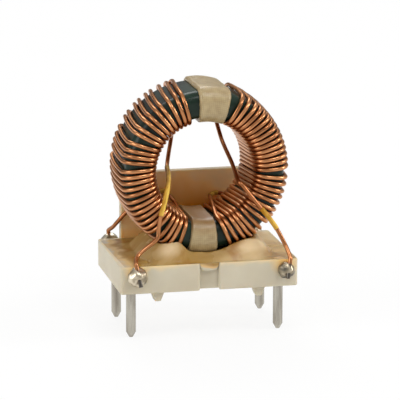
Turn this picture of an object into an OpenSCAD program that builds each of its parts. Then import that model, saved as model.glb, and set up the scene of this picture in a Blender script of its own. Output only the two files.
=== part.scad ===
// Toroidal inductor with two windings. The coated ring core stands on edge on a
// moulded four-pin header with a rear wall, and poured epoxy holds its foot.
// X runs along the header, Y runs through it from front to back and Z points up.
// The origin is on the board's surface, at the centre of the four-pin pattern.
// Sizes are in millimetres and angles in degrees.

/* [Header] */
// Length of the header along X
base_l = 18.2; // [17:0.1:20]
// Depth of the header along Y
base_w = 12.2; // [11.8:0.1:14]
// Thickness of the header's plate
base_t = 2.8; // [2.4:0.1:4]
// Radius of the plate's upright corners
base_corner_r = 0.3; // [0.1:0.05:1]
// Length of the notch in the front face
notch_l = 2; // [1:0.1:3]
// Depth of the notch
notch_d = 0.7; // [0.4:0.05:1]
// Length of the wall along the rear edge
wall_l = 13.7; // [10:0.1:13.8]
// Thickness of the rear wall
wall_t = 0.9; // [0.6:0.05:1]
// Height of the rear wall above the plate
wall_h = 7.05; // [4:0.05:12]
// Radius of the rear wall's upper corners
wall_corner_r = 0.25; // [0.1:0.05:1]

/* [Standoffs] */
// Height of the standoffs that lift the plate off the board
standoff_h = 1; // [0.5:0.1:2]
// Length of a standoff where it leaves the plate
standoff_l = 1.35; // [1:0.05:2]
// Length of a standoff's foot on the board
standoff_foot_l = 0.6; // [0.4:0.05:0.9]
// Width of a standoff along Y
standoff_w = 1.1; // [0.8:0.1:1.8]
// Distance between the middles of a pair of standoffs along X
standoff_pitch_x = 10.4; // [8:0.1:13]
// Setback of a standoff from the plate's long face
standoff_setback = 0.5; // [0.2:0.05:1]

/* [Pins] */
// Distance between the pins along X
pin_pitch_x = 15.24; // [14:0.02:16]
// Distance between the pins along Y
pin_pitch_y = 7.62; // [6.5:0.02:8.6]
// Diameter of the round pins
pin_d = 1; // [0.6:0.05:1.2]
// Length of the pins below the board's surface
pin_drop = 4; // [2.5:0.1:6]
// Length of the taper at the tip
pin_taper_h = 0.55; // [0.2:0.05:1]
// Diameter of the tip's flat end
pin_tip_d = 0.4; // [0.2:0.05:0.5]
// Height of the sideways leg above the plate's underside
leg_up = 1.85; // [1.6:0.05:2]
// Length of leg that stands out of the plate's face
leg_out = 0.5; // [0.3:0.05:1]
// Clearance between a pin and its hole in the header
pin_clear = 0.01; // [0.005:0.005:0.03]

/* [Core] */
// Outer diameter of the coated ring core
core_od = 16.4; // [15:0.1:18]
// Inner diameter of the core
core_id = 10.8; // [10:0.1:12]
// Width of the core along its axis
core_w = 7.4; // [5.5:0.1:7.6]
// Radius of the core's rounded edges
core_edge_r = 1.05; // [0.5:0.05:1.2]
// Offset of the ring from the header's middle along X
ring_shift_x = 0.18; // [-0.5:0.02:0.5]
// Gap between the wound ring and the rear wall
ring_setback = 1.045; // [0.8:0.005:1.4]

/* [Wire] */
// Diameter of the enamelled wire
wire_d = 0.425; // [0.36:0.005:0.45]
// Gap between the wire and the core it lies on
lay_gap = 0.03; // [0.01:0.01:0.06]
// Gap between the leads and the windings they cross
lane_gap = 0.03; // [0.02:0.01:0.1]

/* [Left winding] */
// Angle from the top at which the turns start in the bore
left_bore_from = 18.5; // [16:0.5:30]
// Angle at which the turns end in the bore
left_bore_to = 157.4; // [140:0.2:158]
// Angle from the top at which the turns start on the rim
left_rim_from = 17.5; // [16:0.5:30]
// Angle at which the turns end on the rim
left_rim_to = 158.5; // [140:0.5:160]
// Gap left between neighbouring turns in the bore
left_turn_gap = 0.015; // [0.01:0.005:0.1]
// Angle by which the strands in the bore lag towards the back
left_bore_slant = 2.5; // [-2:0.5:3]
// Angle by which the strands on the rim lag towards the back
left_rim_slant = -3; // [-4:0.5:3]

/* [Right winding] */
// Angle from the top at which the turns start in the bore
right_bore_from = 24; // [23:0.2:30]
// Angle at which the turns end in the bore
right_bore_to = 164.9; // [140:0.1:165]
// Angle from the top at which the turns start on the rim
right_rim_from = 27.2; // [22:0.2:30]
// Angle at which the turns end on the rim
right_rim_to = 160.7; // [140:0.1:162]
// Gap left between neighbouring turns in the bore
right_turn_gap = 0.005; // [0.005:0.005:0.1]
// Angle by which the strands in the bore lag towards the back
right_bore_slant = 4.5; // [0:0.5:5]
// Angle by which the strands on the rim lag towards the back
right_rim_slant = -1; // [-4:0.5:3]

/* [Tapes] */
// Thickness of the wrapped cloth tapes
tape_t = 0.42; // [0.2:0.02:0.44]
// Gap between a tape and the core
tape_gap = 0.03; // [0.01:0.01:0.06]
// Width of the upper tape on the rim
top_tape_w = 3.4; // [2:0.1:3.6]
// Width of the upper tape in the bore
top_tape_bore_w = 2.56; // [1.5:0.02:2.6]
// Turn of the upper tape away from the top, towards the right
top_tape_angle = 6.3; // [0:0.1:7]
// Width of the lower tape on the rim
low_tape_w = 3.1; // [2:0.1:3.3]
// Width of the lower tape in the bore
low_tape_bore_w = 2.36; // [1.5:0.02:2.4]
// Turn of the lower tape away from the bottom, towards the left
low_tape_angle = 2.6; // [0:0.1:4]

/* [Sleeves] */
// Gap between a sleeve and the wire inside it
sleeve_gap = 0.03; // [0.03:0.005:0.06]
// Wall thickness of a sleeve
sleeve_t = 0.06; // [0.04:0.01:0.12]

/* [Solder] */
// Radius of the front left joint
solder_fl_r = 1; // [0.9:0.05:1.2]
// Radius of the front right joint
solder_fr_r = 0.85; // [0.85:0.05:1.2]
// Radius of the two rear joints
solder_back_r = 1; // [0.95:0.05:1.2]
// Gap between the solder and the metal it grips
solder_gap = 0.01; // [0.005:0.005:0.03]

/* [Adhesive] */
// Thickness of the epoxy film over the plate
film_t = 0.12; // [0.06:0.02:0.3]
// Thickness of the film at its rim
film_edge_t = 0.05; // [0.02:0.01:0.06]
// Gap between the plate's top and the wound ring
ring_lift = 0.1; // [0.05:0.05:0.5]
// Height of the epoxy's mound above the film
mound_h = 2.6; // [2:0.1:5]
// Length of the mound along X
mound_l = 14.2; // [10:0.1:15]
// Depth of the mound along Y
mound_w = 12; // [8:0.1:12.5]
// Gap between the epoxy and the wound ring
mound_gap = 0.03; // [0.01:0.01:0.1]

/* [Hidden] */

// Sides of the wire's section, of a sleeve's section and of round solids
wire_sides = 7;
sleeve_sides = 8;
round_fn = 48;
// Points of a lead's path for each stretch between two route points
route_steps = 2;
// Surplus of cutting shapes past the faces they cut
cut = 1;

// Left and right, front and back
LEFT = -1;
RIGHT = 1;
FRONT = -1;
BACK = 1;

// Header
plate_z = standoff_h;
plate_top = plate_z + base_t;
face_y = base_w / 2;
wall_front_y = face_y - wall_t;
leg_z = plate_z + leg_up;
// Centreline radius of a pin's bend, which starts where the pin enters the plate
leg_bend_r = min(leg_z - plate_z + pin_clear, face_y - pin_pitch_y / 2);

// Wire on the core: its lay in the bore, on the rim and on the side faces
wire_r = wire_d / 2;
bore_r = core_id / 2 - lay_gap - wire_r;
rim_r = core_od / 2 + lay_gap + wire_r;
side_y = core_w / 2 + lay_gap + wire_r;
bend_r = core_edge_r + lay_gap + wire_r;
// Route points that bend a path of straight chords round an edge
bend_steps = [15, 45, 75];
chord_r = bend_r / cos(15);

// Wound ring, and the height and depth of its centre
tape_outer_r = core_od / 2 + tape_gap + tape_t;
wound_r = max(rim_r + wire_r, tape_outer_r) + mound_gap;
wound_y = max(side_y + wire_r, core_w / 2 + tape_gap + tape_t) + mound_gap;
ring_z = plate_top + ring_lift + wound_r;
ring_y = wall_front_y - ring_setback - side_y - wire_r;
// Plane in which the leads cross before and behind the windings
lane_y = side_y + 2 * wire_r + lane_gap;

// Epoxy: middle of the mound, sag of its surface at the lower tape, and unevenness
mound_x = 0.2;
mound_y = -0.2;
sag_x = 0.4;
sag_l = 2.3;
sag_depth = 0.72;
ripple_h = 0.06;
// Bare strip of plate beside the film, wider at the front left
film_inset = 0.15;
film_inset_left = 0.8;
film_columns = 30;
// Tongue of epoxy that has run into the notch
tongue_h = 1;
tongue_r = 0.3;
tongue_gap = 0.02;

// Extra angles that the hand-laid turns leave before a turn: [turn, angle]
left_rim_gaps = [[2, 1.7], [3, 2.4], [5, 1.9], [7, 2.2], [9, 3.9], [10, 0.8], [13, 3.2], [18, 1], [25, 3.4],
                 [28, 2.4]];
right_bore_gaps = [[15, 1.2], [20, 2], [24, 2], [27, 1.7]];
right_rim_gaps = [[1, 1.5], [2, 1.7], [15, 4], [16, 1.1], [17, 1.2], [20, 1.2], [22, 1.5], [23, 2.6], [28, 2.5]];

// ---- Vectors and lists ----

function unit(v) = v / norm(v);

function total(v, i = 0) = i < len(v) ? v[i] + total(v, i + 1) : 0;

// Angle opened by all gaps up to a turn
function opened(gaps, turn) = total([for (g = gaps) if (g[0] <= turn) g[1]]);

// ---- Tubes along a path ----

// Direction of the path at each point: the bisector of its two chords
function directions(path) =
    let (last = len(path) - 1)
    [for (i = [0 : last])
        let (before = i > 0 ? unit(path[i] - path[i - 1]) : unit(path[1] - path[0]))
        let (after = i < last ? unit(path[i + 1] - path[i]) : before)
        unit(before + after)];

function square_to(v, dir) = unit(v - (v * dir) * dir);

// First normal, carried along the path without twist
function normals(dirs) =
    [for (i = 0, n = square_to([0.3, 0.2, 1], dirs[0]);
          i < len(dirs);
          i = i + 1, n = i < len(dirs) ? square_to(n, dirs[i]) : n) n];

// Rings of points round the path, one after the other
function rings(path, r, sides) =
    let (dirs = directions(path))
    let (ups = normals(dirs))
    [for (i = [0 : len(path) - 1])
        let (side = cross(dirs[i], ups[i]))
        for (j = [0 : sides - 1])
            path[i] + r * (cos(j * 360 / sides) * ups[i] + sin(j * 360 / sides) * side)];

// Triangles between neighbouring rings; flip turns them inside out
function skin(count, sides, first = 0, flip = false) =
    [for (i = [0 : count - 2], j = [0 : sides - 1])
        let (a = first + i * sides + j)
        let (b = first + i * sides + (j + 1) % sides)
        for (t = [[a, a + sides, b], [b, a + sides, b + sides]])
            flip ? [t[0], t[2], t[1]] : t];

module tube(path, r, sides) {
    count = len(path);
    start = [for (j = [0 : sides - 1]) j];
    end = [for (j = [sides - 1 : -1 : 0]) (count - 1) * sides + j];
    polyhedron(rings(path, r, sides), concat([start], skin(count, sides), [end]));
}

// Open sleeve: an outer and an inner skin joined by a ring at each end
module hollow_tube(path, r_in, r_out, sides) {
    count = len(path);
    inner = count * sides;
    last = (count - 1) * sides;
    start = [for (j = [0 : sides - 1])
        let (k = (j + 1) % sides)
        for (t = [[j, k, inner + j], [k, inner + k, inner + j]]) t];
    end = [for (j = [0 : sides - 1])
        let (k = (j + 1) % sides)
        for (t = [[last + j, inner + last + j, last + k],
                  [last + k, inner + last + j, inner + last + k]]) t];
    polyhedron(concat(rings(path, r_out, sides), rings(path, r_in, sides)),
               concat(skin(count, sides), skin(count, sides, inner, true), start, end));
}

// Smooth path through route points, with the same number of steps in each stretch
function smooth(points, steps) =
    let (last = len(points) - 1)
    concat(
        [for (i = [0 : last - 1])
            let (p0 = points[max(i - 1, 0)])
            let (p1 = points[i])
            let (p2 = points[i + 1])
            let (p3 = points[min(i + 2, last)])
            for (s = [0 : steps - 1])
                let (t = s / steps)
                0.5 * (2 * p1 + (p2 - p0) * t + (2 * p0 - 5 * p1 + 4 * p2 - p3) * t * t
                       + (3 * p1 - p0 - 3 * p2 + p3) * t * t * t)],
        [points[last]]);

// ---- Places ----

// Point on the ring: radius as a multiple of the bore lay, angle from the top,
// and depth as a multiple of the lane before (-1) or behind (1) the windings
function by_ring(side, radius, angle, depth) =
    [ring_shift_x + side * radius * bore_r * sin(angle), ring_y + depth * lane_y,
     ring_z + radius * bore_r * cos(angle)];

// Point beside a terminal: offset away from the header's middle, out of its face, and up
function by_leg(side, end, away, out, up) =
    [side * (pin_pitch_x / 2 + away), end * (face_y + out), leg_z + up];

// Point of the winding at a lay radius, an angle from the top and a depth
function on_core(side, r, angle, y) =
    [ring_shift_x + side * r * sin(angle), ring_y + y, ring_z + r * cos(angle)];

// ---- Turns of a winding ----

// Path of one turn, from the back of the bore, to the front, over the rim and down the back.
// Each of its four edges is passed in three chords, and the angle drifts evenly from
// the bore to the rim on the front, and from the rim to the next turn's bore on the back.
function turn_path(side, bore_front, rim_front, bore_back, rim_back, next_bore_back) =
    let (across = rim_r - bore_r - 2 * bend_r)
    let (inner = side_y - bend_r)
    let (face = across + PI * bend_r)
    let (drift = function (step) step / 180 * PI * bend_r / face)
    let (bend = function (step) chord_r * [cos(step), sin(step)])
    concat(
        [for (s = bend_steps)
            let (b = bend(s))
            on_core(side, bore_r + bend_r - b[0], bore_front + (rim_front - bore_front) * drift(s), -inner - b[1])],
        [for (s = bend_steps)
            let (b = bend(90 - s))
            on_core(side, rim_r - bend_r + b[0], rim_front - (rim_front - bore_front) * drift(90 - s), -inner - b[1])],
        [for (s = bend_steps)
            let (b = bend(s))
            on_core(side, rim_r - bend_r + b[0], rim_back + (next_bore_back - rim_back) * drift(s), inner + b[1])],
        [for (s = bend_steps)
            let (b = bend(90 - s))
            on_core(side, bore_r + bend_r - b[0], next_bore_back - (next_bore_back - rim_back) * drift(90 - s),
                    inner + b[1])]);

// Number of turns that fit between two angles in the bore
function turns_in(bore_from, bore_to, bore_gaps, turn_gap) =
    let (closest = 2 * asin((wire_d + turn_gap) / 2 / bore_r))
    floor((bore_to - bore_from - total([for (g = bore_gaps) g[1]])) / closest) + 1;

// Path of all turns, from the lowest to the highest
function winding_path(side, bore, rim, bore_gaps, rim_gaps, turn_gap, bore_slant, rim_slant) =
    let (turns = turns_in(bore[0], bore[1], bore_gaps, turn_gap))
    let (last = turns - 1)
    let (bore_pitch = (bore[1] - bore[0] - opened(bore_gaps, last)) / last)
    let (rim_pitch = (rim[1] - rim[0] - opened(rim_gaps, last)) / last)
    let (bore_angle = function (k) bore[0] + bore_pitch * k + opened(bore_gaps, k))
    let (rim_angle = function (k) rim[0] + rim_pitch * k + opened(rim_gaps, k))
    let (path = [for (k = [last : -1 : 0])
        each turn_path(side, bore_angle(k), rim_angle(k), bore_angle(k) + bore_slant, rim_angle(k) + rim_slant,
                       bore_angle(max(k - 1, 0)) + bore_slant)])
    // the top turn's wire leaves on the back face instead of entering the bore again
    [for (i = [0 : len(path) - 4]) path[i]];

left_turns = winding_path(LEFT, [left_bore_from, left_bore_to], [left_rim_from, left_rim_to], [], left_rim_gaps,
                          left_turn_gap, left_bore_slant, left_rim_slant);
right_turns = winding_path(RIGHT, [right_bore_from, right_bore_to], [right_rim_from, right_rim_to],
                           right_bore_gaps, right_rim_gaps, right_turn_gap, right_bore_slant, right_rim_slant);

// ---- Leads ----

// Straight runs of the leads through their joints, from above to the free end, each as
// offsets from the terminal: away from the header's middle, out of its face, and up
front_left_run = [[0.06, 0.62, 1.42], [-0.3, 1.38, -0.78]];
front_right_run = [[0.56, 0.5, 1.15], [0.12, 1.25, -0.75]];
back_run = [[0.2, 0.6, 1.65], [0.18, 1.3, -0.5]];
// Shares of a run at which a route has its points, down to the free end or up from it
run_down = [0, 0.12, 0.55, 1];
run_up = [1, 0.55, 0.12, 0];
// Share at which a joint's bore for its lead ends, past the free end
run_past = 1.2;

// Point at a share of a run
function on_run(side, end, run, share) =
    let (p = run[0] + share * (run[1] - run[0]))
    by_leg(side, end, p[0], p[1], p[2]);

function joint_run(side, end, run, shares) = [for (share = shares) on_run(side, end, run, share)];

// Route points of the four leads, from the winding's top turn forward through the
// bore to a front terminal, or from a rear terminal to the winding's lowest turn
front_left_route = [
    by_ring(LEFT, 1.03, 16.2, 1),
    by_ring(LEFT, 0.54, 44.6, 0.93),
    by_ring(LEFT, 0.5, 78, 0.63),
    by_ring(LEFT, 0.583, 97.8, 0.3),
    by_ring(LEFT, 0.65, 103.3, -0.15),
    by_ring(LEFT, 0.793, 108.8, -0.73),
    by_ring(LEFT, 0.906, 113.3, -1.02),
    by_ring(LEFT, 1.07, 123.5, -1.05),
    by_ring(LEFT, 1.225, 129.3, -1.05),
    by_ring(LEFT, 1.45, 136.8, -1.05),
    by_ring(LEFT, 1.605, 139.9, -1.09),
    by_leg(LEFT, FRONT, -1.15, -0.85, 2.55),
    by_leg(LEFT, FRONT, -0.36, -0.4, 2.07),
    by_leg(LEFT, FRONT, -0.04, 0.16, 1.72),
    each joint_run(LEFT, FRONT, front_left_run, run_down)];
front_right_route = [
    by_ring(RIGHT, 1.311, 27.5, 1),
    by_ring(RIGHT, 1.003, 31.7, 1.02),
    by_ring(RIGHT, 0.733, 51.8, 0.73),
    by_ring(RIGHT, 0.653, 65.3, 0.36),
    by_ring(RIGHT, 0.624, 86.3, -0.27),
    by_ring(RIGHT, 0.637, 105.9, -0.86),
    by_ring(RIGHT, 0.723, 110.7, -1.02),
    by_ring(RIGHT, 1.003, 120.2, -1.05),
    by_ring(RIGHT, 1.28, 124.8, -1.05),
    by_ring(RIGHT, 1.541, 127.7, -1.07),
    by_leg(RIGHT, FRONT, -0.48, -1.05, 3.85),
    by_leg(RIGHT, FRONT, 0.15, -0.5, 2.53),
    by_leg(RIGHT, FRONT, 0.46, 0.05, 1.7),
    each joint_run(RIGHT, FRONT, front_right_run, run_down)];
back_left_route = [
    each joint_run(LEFT, BACK, back_run, run_up),
    by_leg(LEFT, BACK, -0.09, -0.3, 2.2),
    by_leg(LEFT, BACK, -0.4, -1.05, 2.89),
    by_ring(LEFT, 1.676, 131.6, 1.065),
    by_ring(LEFT, 1.286, 135.1, 1.065),
    by_ring(LEFT, 0.896, 143, 1.065),
    by_ring(LEFT, 0.9, 153, 0.98),
    by_ring(LEFT, 0.95, 158.8, 0.76),
    by_ring(LEFT, 1, 159.4, 0.4)];
back_right_route = [
    each joint_run(RIGHT, BACK, back_run, run_up),
    by_leg(RIGHT, BACK, -0.09, -0.3, 2.2),
    by_leg(RIGHT, BACK, -0.4, -1.05, 2.89),
    by_ring(RIGHT, 1.676, 131.6, 1.065),
    by_ring(RIGHT, 1.286, 135.1, 1.065),
    by_ring(RIGHT, 1.009, 143.4, 1.065),
    by_ring(RIGHT, 0.96, 149.3, 1.05),
    by_ring(RIGHT, 0.93, 153.8, 0.9),
    by_ring(RIGHT, 0.915, 157, 0.5),
    by_ring(RIGHT, 0.915, 160, 0.1),
    by_ring(RIGHT, 0.92, 162.5, -0.2),
    by_ring(RIGHT, 0.97, 164.4, -0.45)];
front_left_lead = smooth(front_left_route, route_steps);
front_right_lead = smooth(front_right_route, route_steps);
back_left_lead = smooth(back_left_route, route_steps);
back_right_lead = smooth(back_right_route, route_steps);

// Stretch of a lead's path between two of its route points
function stretch(lead, from, to) = [for (i = [from * route_steps : to * route_steps]) lead[i]];

// Route points between which each sleeve covers its lead
front_left_sleeved = [3, 8];
front_right_sleeved = [8, 10];
back_left_sleeved = [7, 9];
back_right_sleeved = [8, 10];

// ---- Shapes ----

module rounded_rectangle(l, w, r) {
    square([l - 2 * r, w], center = true);
    square([l, w - 2 * r], center = true);
    for (x = [-1, 1], y = [-1, 1])
        translate([x * (l / 2 - r), y * (w / 2 - r)])
            circle(r, $fn = round_fn);
}

// Section of a ring of rounded rectangular section, in radius and depth
module ring_section(r_in, r_out, half_w, r) {
    translate([(r_in + r_out) / 2, 0])
        rounded_rectangle(r_out - r_in, 2 * half_w, r);
}

// Places a shape drawn round Z onto the ring's axis, which runs along Y
module on_ring_axis() {
    translate([ring_shift_x, ring_y, ring_z])
        rotate([90, 0, 0])
            children();
}

// Bent rod: up from a height, round the bend in the plate and sideways out of its face
module bent_rod(r, low, out) {
    reach = face_y - pin_pitch_y / 2 + out;
    translate([0, 0, low])
        cylinder(h = leg_z - leg_bend_r - low, r = r, $fn = round_fn);
    translate([0, leg_bend_r, leg_z - leg_bend_r])
        rotate([90, 0, -90])
            rotate_extrude(angle = 90, $fn = round_fn)
                translate([leg_bend_r, 0])
                    circle(r, $fn = round_fn);
    translate([0, leg_bend_r, leg_z])
        rotate([-90, 0, 0])
            cylinder(h = reach - leg_bend_r, r = r, $fn = round_fn);
}

// Round rod between two points
module rod(from, to, r) {
    along = to - from;
    translate(from)
        rotate([0, acos(along[2] / norm(along)), atan2(along[1], along[0])])
            cylinder(h = norm(along), r = r, $fn = round_fn);
}

// Moves a pin from its own axis, with the leg pointing along +Y, to a corner
module at_corner(side, end) {
    translate([side * pin_pitch_x / 2, end * pin_pitch_y / 2, 0])
        rotate([0, 0, end == BACK ? 0 : 180])
            children();
}

// ---- Pieces ----

module standoff() {
    translate([0, standoff_w / 2, 0])
        rotate([90, 0, 0])
            linear_extrude(standoff_w)
                polygon([[-standoff_l / 2, standoff_h], [-standoff_foot_l / 2, 0], [standoff_foot_l / 2, 0],
                         [standoff_l / 2, standoff_h]]);
}

module base() {
    color("antiquewhite")
    difference() {
        union() {
            translate([0, 0, plate_z])
                linear_extrude(base_t)
                    rounded_rectangle(base_l, base_w, base_corner_r);
            for (x = [-1, 1], y = [-1, 1])
                translate([x * standoff_pitch_x / 2, y * (face_y - standoff_setback - standoff_w / 2), 0])
                    standoff();
            translate([0, face_y, plate_top + wall_h / 2 - wall_corner_r])
                rotate([90, 0, 0])
                    linear_extrude(wall_t)
                        rounded_rectangle(wall_l, wall_h + 2 * wall_corner_r, wall_corner_r);
        }
        translate([-notch_l / 2, -face_y - cut, plate_z - cut])
            cube([notch_l, notch_d + cut, base_t + 2 * cut]);
        for (x = [LEFT, RIGHT], y = [FRONT, BACK])
            at_corner(x, y)
                bent_rod(pin_d / 2 + pin_clear, 0, cut);
    }
}

module core() {
    color("darkslategray")
    on_ring_axis()
        rotate_extrude($fn = 96)
            ring_section(core_id / 2, core_od / 2, core_w / 2, core_edge_r);
}

// Band wrapped round the ring's section; it narrows from the rim to the bore
module tape(angle, rim_w, bore_w) {
    inner_r = core_id / 2 - tape_gap - tape_t;
    grow = tape_gap + tape_t;
    on_ring_axis()
        rotate([0, 0, -angle])
            intersection() {
                rotate_extrude($fn = 96)
                    difference() {
                        ring_section(inner_r, tape_outer_r, core_w / 2 + grow, core_edge_r + grow);
                        ring_section(core_id / 2 - tape_gap, core_od / 2 + tape_gap, core_w / 2 + tape_gap,
                                     core_edge_r + tape_gap);
                    }
                translate([0, 0, -core_w])
                    linear_extrude(2 * core_w)
                        polygon([[-bore_w / 2, inner_r - cut], [bore_w / 2, inner_r - cut],
                                 [rim_w / 2, tape_outer_r], [rim_w / 2, tape_outer_r + cut],
                                 [-rim_w / 2, tape_outer_r + cut], [-rim_w / 2, tape_outer_r]]);
            }
}

module tape_top() {
    color("tan") tape(top_tape_angle, top_tape_w, top_tape_bore_w);
}

module tape_bottom() {
    color("tan") tape(180 + low_tape_angle, low_tape_w, low_tape_bore_w);
}

module winding_left() {
    color("peru") tube(concat(back_left_lead, left_turns, front_left_lead), wire_r, wire_sides);
}

module winding_right() {
    color("peru") tube(concat(back_right_lead, right_turns, front_right_lead), wire_r, wire_sides);
}

module pin() {
    color("lightgray") {
        bent_rod(pin_d / 2, pin_taper_h - pin_drop, leg_out);
        translate([0, 0, -pin_drop])
            cylinder(h = pin_taper_h, r1 = pin_tip_d / 2, r2 = pin_d / 2, $fn = round_fn);
    }
}

module pin_front_left() {
    at_corner(LEFT, FRONT) pin();
}

module pin_front_right() {
    at_corner(RIGHT, FRONT) pin();
}

module pin_back_left() {
    at_corner(LEFT, BACK) pin();
}

module pin_back_right() {
    at_corner(RIGHT, BACK) pin();
}

// Rounded joint on the end of a leg, pierced by the leg and by a lead's straight run
module solder(side, end, r, away, out, up, run) {
    color("silver")
    difference() {
        translate(by_leg(side, end, away, 0, up))
            rotate([-90 * end, 0, 0])
                rotate_extrude($fn = round_fn)
                    intersection() {
                        translate([0, out])
                            circle(r, $fn = round_fn);
                        translate([0, solder_gap])
                            square(out + r);
                    }
        translate([side * pin_pitch_x / 2, end * (face_y - cut), leg_z])
            rotate([-90 * end, 0, 0])
                cylinder(h = cut + leg_out + solder_gap, r = pin_d / 2 + solder_gap, $fn = round_fn);
        rod(on_run(side, end, run, 0), on_run(side, end, run, run_past), wire_r + solder_gap);
    }
}

module solder_front_left() {
    solder(LEFT, FRONT, solder_fl_r, -0.12, 0.42, 0.05, front_left_run);
}

module solder_front_right() {
    solder(RIGHT, FRONT, solder_fr_r, 0.15, 0.45, -0.08, front_right_run);
}

module solder_back_left() {
    solder(LEFT, BACK, solder_back_r, 0.1, 0.55, 0.3, back_run);
}

module solder_back_right() {
    solder(RIGHT, BACK, solder_back_r, 0.1, 0.55, 0.3, back_run);
}

module sleeve(lead, sleeved) {
    inner_r = (wire_r + sleeve_gap / 3) / cos(180 / sleeve_sides);
    color("gold") hollow_tube(stretch(lead, sleeved[0], sleeved[1]), inner_r, inner_r + sleeve_t, sleeve_sides);
}

module sleeve_front_left() {
    sleeve(front_left_lead, front_left_sleeved);
}

module sleeve_front_right() {
    sleeve(front_right_lead, front_right_sleeved);
}

module sleeve_back_left() {
    sleeve(back_left_lead, back_left_sleeved);
}

module sleeve_back_right() {
    sleeve(back_right_lead, back_right_sleeved);
}

// Height of the epoxy above the plate: a film with a steep-sided mound round the ring's
// foot, which sags at the lower tape and is slightly uneven
function epoxy_height(x, y) =
    let (from_middle = pow(abs(x - mound_x) / (mound_l / 2), 4) + pow(abs(y - ring_y - mound_y) / (mound_w / 2), 4))
    let (sag = 1 - sag_depth * exp(-pow((x - sag_x) / sag_l, 2)))
    let (mound = max(0, 1 - from_middle))
    let (ripple = ripple_h * (mound + 0.4) * sin(150 * x + 40 * y + 40) * sin(130 * y + 15 * x))
    film_t + mound_h * mound * sag + ripple;

// Height above the plate of the wound ring's underside, whose outer edges are rounded
function ring_height(x, y) =
    let (dy = abs(y - ring_y))
    let (past_flat = max(0, dy - (wound_y - bend_r)))
    let (outer = wound_r - bend_r + sqrt(max(0, bend_r * bend_r - past_flat * past_flat)))
    let (dx = min(abs(x - ring_shift_x), outer))
    dy > wound_y ? ring_z : ring_z - sqrt(outer * outer - dx * dx) - plate_top;

// Lines of the epoxy's surface along Y: even before, under and behind the ring, and
// close together where the ring's edges curve
function lines(from, to, steps) = [for (i = [0 : steps - 1]) from + (to - from) * i / steps];
function bends(sign, angles) = [for (a = angles) ring_y + sign * (wound_y - bend_r + bend_r * sin(a))];

// Film over the plate with the mound, its top held down by the wound ring
module film() {
    front = film_inset - face_y;
    flat = wound_y - bend_r;
    ys = concat(lines(front, ring_y - wound_y, 5), bends(-1, [90 : -15 : 15]), lines(ring_y - flat, ring_y + flat, 4),
                bends(1, [0 : 15 : 75]), lines(ring_y + wound_y, wall_front_y, 3), [wall_front_y]);
    rows = len(ys);
    columns = film_columns + 1;
    slant = (film_inset_left - film_inset) / (wall_front_y - front);
    top = [for (y = ys, i = [0 : film_columns])
        let (left = film_inset_left - base_l / 2 - slant * (y - front))
        let (x = left + (base_l / 2 - film_inset - left) * i / film_columns)
        let (rim = i == 0 || i == film_columns || y == ys[0])
        [x, y, plate_top + (rim ? film_edge_t : min(epoxy_height(x, y), ring_height(x, y)))]];
    rim = concat([for (i = [0 : film_columns - 1]) i],
                 [for (j = [0 : rows - 2]) j * columns + film_columns],
                 [for (i = [film_columns : -1 : 1]) (rows - 1) * columns + i],
                 [for (j = [rows - 1 : -1 : 1]) j * columns]);
    count = len(rim);
    start = len(top);
    foot = [for (k = rim) [top[k][0], top[k][1], plate_top]];
    upper = [for (j = [0 : rows - 2], i = [0 : film_columns - 1])
        let (a = j * columns + i)
        for (t = [[a, a + columns, a + 1], [a + 1, a + columns, a + columns + 1]]) t];
    sides = [for (k = [0 : count - 1])
        let (next = (k + 1) % count)
        for (t = [[rim[k], rim[next], start + k], [rim[next], start + next, start + k]]) t];
    under = [for (k = [0 : count - 1]) [start + k, start + (k + 1) % count, start + count]];
    polyhedron(concat(top, foot, [[0, 0, plate_top]]), concat(upper, sides, under));
}

// Epoxy that has run down into the notch
module tongue() {
    translate([0, notch_d - face_y - tongue_gap, plate_top - tongue_h / 2])
        rotate([90, 0, 0])
            linear_extrude(notch_d - tongue_gap - film_inset)
                rounded_rectangle(notch_l - 2 * tongue_gap, tongue_h, tongue_r);
}

module adhesive() {
    color("goldenrod") {
        film();
        tongue();
    }
}

base();
core();
tape_top();
tape_bottom();
winding_left();
winding_right();
pin_front_left();
pin_front_right();
pin_back_left();
pin_back_right();
solder_front_left();
solder_front_right();
solder_back_left();
solder_back_right();
sleeve_front_left();
sleeve_front_right();
sleeve_back_left();
sleeve_back_right();
adhesive();
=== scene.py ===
import random
from functools import partial
from math import cos, degrees, exp, pi, radians, sin, sqrt, tau

import bmesh
import bpy
from bpy.props import FloatProperty, FloatVectorProperty, IntProperty, PointerProperty
from bpy.types import Operator, Panel, PropertyGroup
from mathutils import Matrix, Vector, noise


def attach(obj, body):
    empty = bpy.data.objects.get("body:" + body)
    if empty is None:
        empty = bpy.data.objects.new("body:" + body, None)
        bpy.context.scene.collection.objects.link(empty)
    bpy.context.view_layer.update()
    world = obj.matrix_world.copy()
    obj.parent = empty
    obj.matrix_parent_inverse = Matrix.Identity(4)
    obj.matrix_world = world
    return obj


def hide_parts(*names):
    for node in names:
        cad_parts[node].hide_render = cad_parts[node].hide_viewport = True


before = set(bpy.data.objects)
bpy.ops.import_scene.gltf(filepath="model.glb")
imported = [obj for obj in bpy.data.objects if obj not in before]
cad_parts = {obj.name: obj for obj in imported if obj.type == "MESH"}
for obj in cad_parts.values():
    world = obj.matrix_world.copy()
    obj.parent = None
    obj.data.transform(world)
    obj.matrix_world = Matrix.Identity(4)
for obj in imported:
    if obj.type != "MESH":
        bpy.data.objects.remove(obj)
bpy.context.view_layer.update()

bl_info = {
    "name": "Toroidal Inductor",
    "version": (1, 0, 0),
    "blender": (4, 5, 0),
    "location": "View3D > Sidebar > Inductor",
    "description": "Dresses the toroidal inductor on its four-pin header",
    "category": "Object",
}

MM = 0.001
LEFT, RIGHT, FRONT, BACK = -1, 1, -1, 1

# ---- Sizes that the frame holds, in millimetres ----

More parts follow.
